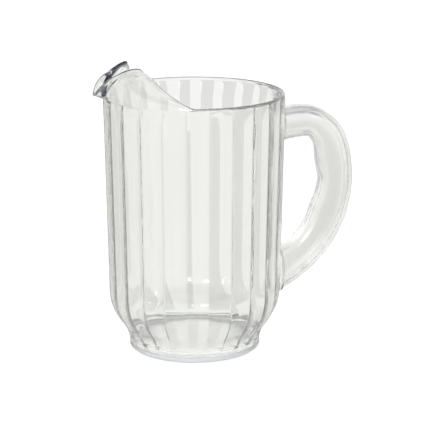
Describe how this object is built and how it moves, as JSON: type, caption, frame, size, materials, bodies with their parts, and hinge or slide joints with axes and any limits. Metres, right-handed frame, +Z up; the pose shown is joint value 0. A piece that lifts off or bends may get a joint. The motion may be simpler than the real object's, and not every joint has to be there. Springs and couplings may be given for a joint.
{
  "type": "beer pitcher",
  "caption": "Clear fluted plastic pitcher with a small foot ring, a hooded pinched spout and a hollow rounded handle.",
  "frame": {"origin": "on the body's round axis at table level, in the plane of the foot's resting ring", "axes": "+Z up the body's axis; +X from the axis to the handle, so the spout points along -X; the object is mirror-symmetric in Y"},
  "size_m": [0.1921, 0.127, 0.2057],
  "materials": {
    "clear_body": "clear polished polycarbonate, very slightly grey-green",
    "clear_collar": "clear polished polycarbonate",
    "milky_handle": "translucent, slightly milky polycarbonate with a soft sheen"
  },
  "bodies": {
    "root": {"fluted_vessel": "clear_body", "spout_collar": "clear_collar", "handle_left_half": "milky_handle", "handle_right_half": "milky_handle"}
  },
  "joints": []
}
